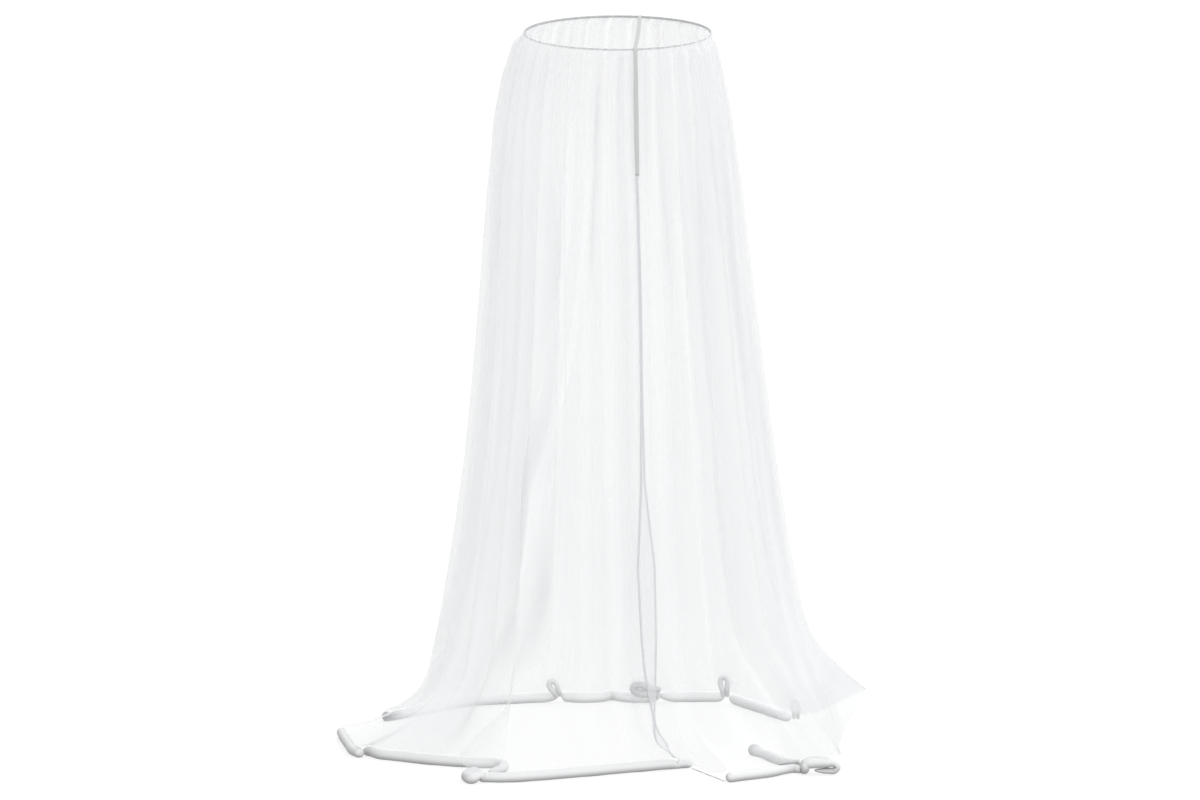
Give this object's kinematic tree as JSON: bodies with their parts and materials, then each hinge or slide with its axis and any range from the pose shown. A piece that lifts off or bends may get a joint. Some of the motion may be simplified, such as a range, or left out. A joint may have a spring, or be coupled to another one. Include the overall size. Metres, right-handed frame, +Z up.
{
  "type": "parasol mosquito net with top ring",
  "caption": "Tall gathered net skirt hung from a thin ring, open down the front where its edges overlap, with plump weight tubes in a hem that lies on the floor",
  "frame": {"origin": "On the floor under the middle of the whole footprint of the net and its hem", "axes": "+Z up from the floor to the ring, -Y to the front where the slit is, +X to the right as seen from the front"},
  "size_m": [1.6218, 1.2292, 2.2065],
  "materials": {
    "netting": "fine white mosquito netting, sheer, matt",
    "weight_sleeve": "smooth white woven sleeve over a filled tube",
    "ring_wire": "plain light grey wire hoop, satin",
    "tape": "flat grey woven tape, matt"
  },
  "bodies": {
    "root": {"net": "netting", "top_ring": "ring_wire", "draw_tape": "tape", "weight_front": "weight_sleeve", "weight_front_left": "weight_sleeve", "weight_left": "weight_sleeve", "weight_left_back": "weight_sleeve", "weight_back": "weight_sleeve", "weight_back_right": "weight_sleeve", "weight_right_back": "weight_sleeve", "weight_front_right": "weight_sleeve", "weight_folded_back": "weight_sleeve", "hem_loop_left": "weight_sleeve", "hem_loop_right": "weight_sleeve", "hem_loop_side": "weight_sleeve", "hem_loop_back": "weight_sleeve", "hem_loop_corner": "weight_sleeve", "hem_strand": "weight_sleeve", "hem_collar": "weight_sleeve"}
  },
  "joints": []
}
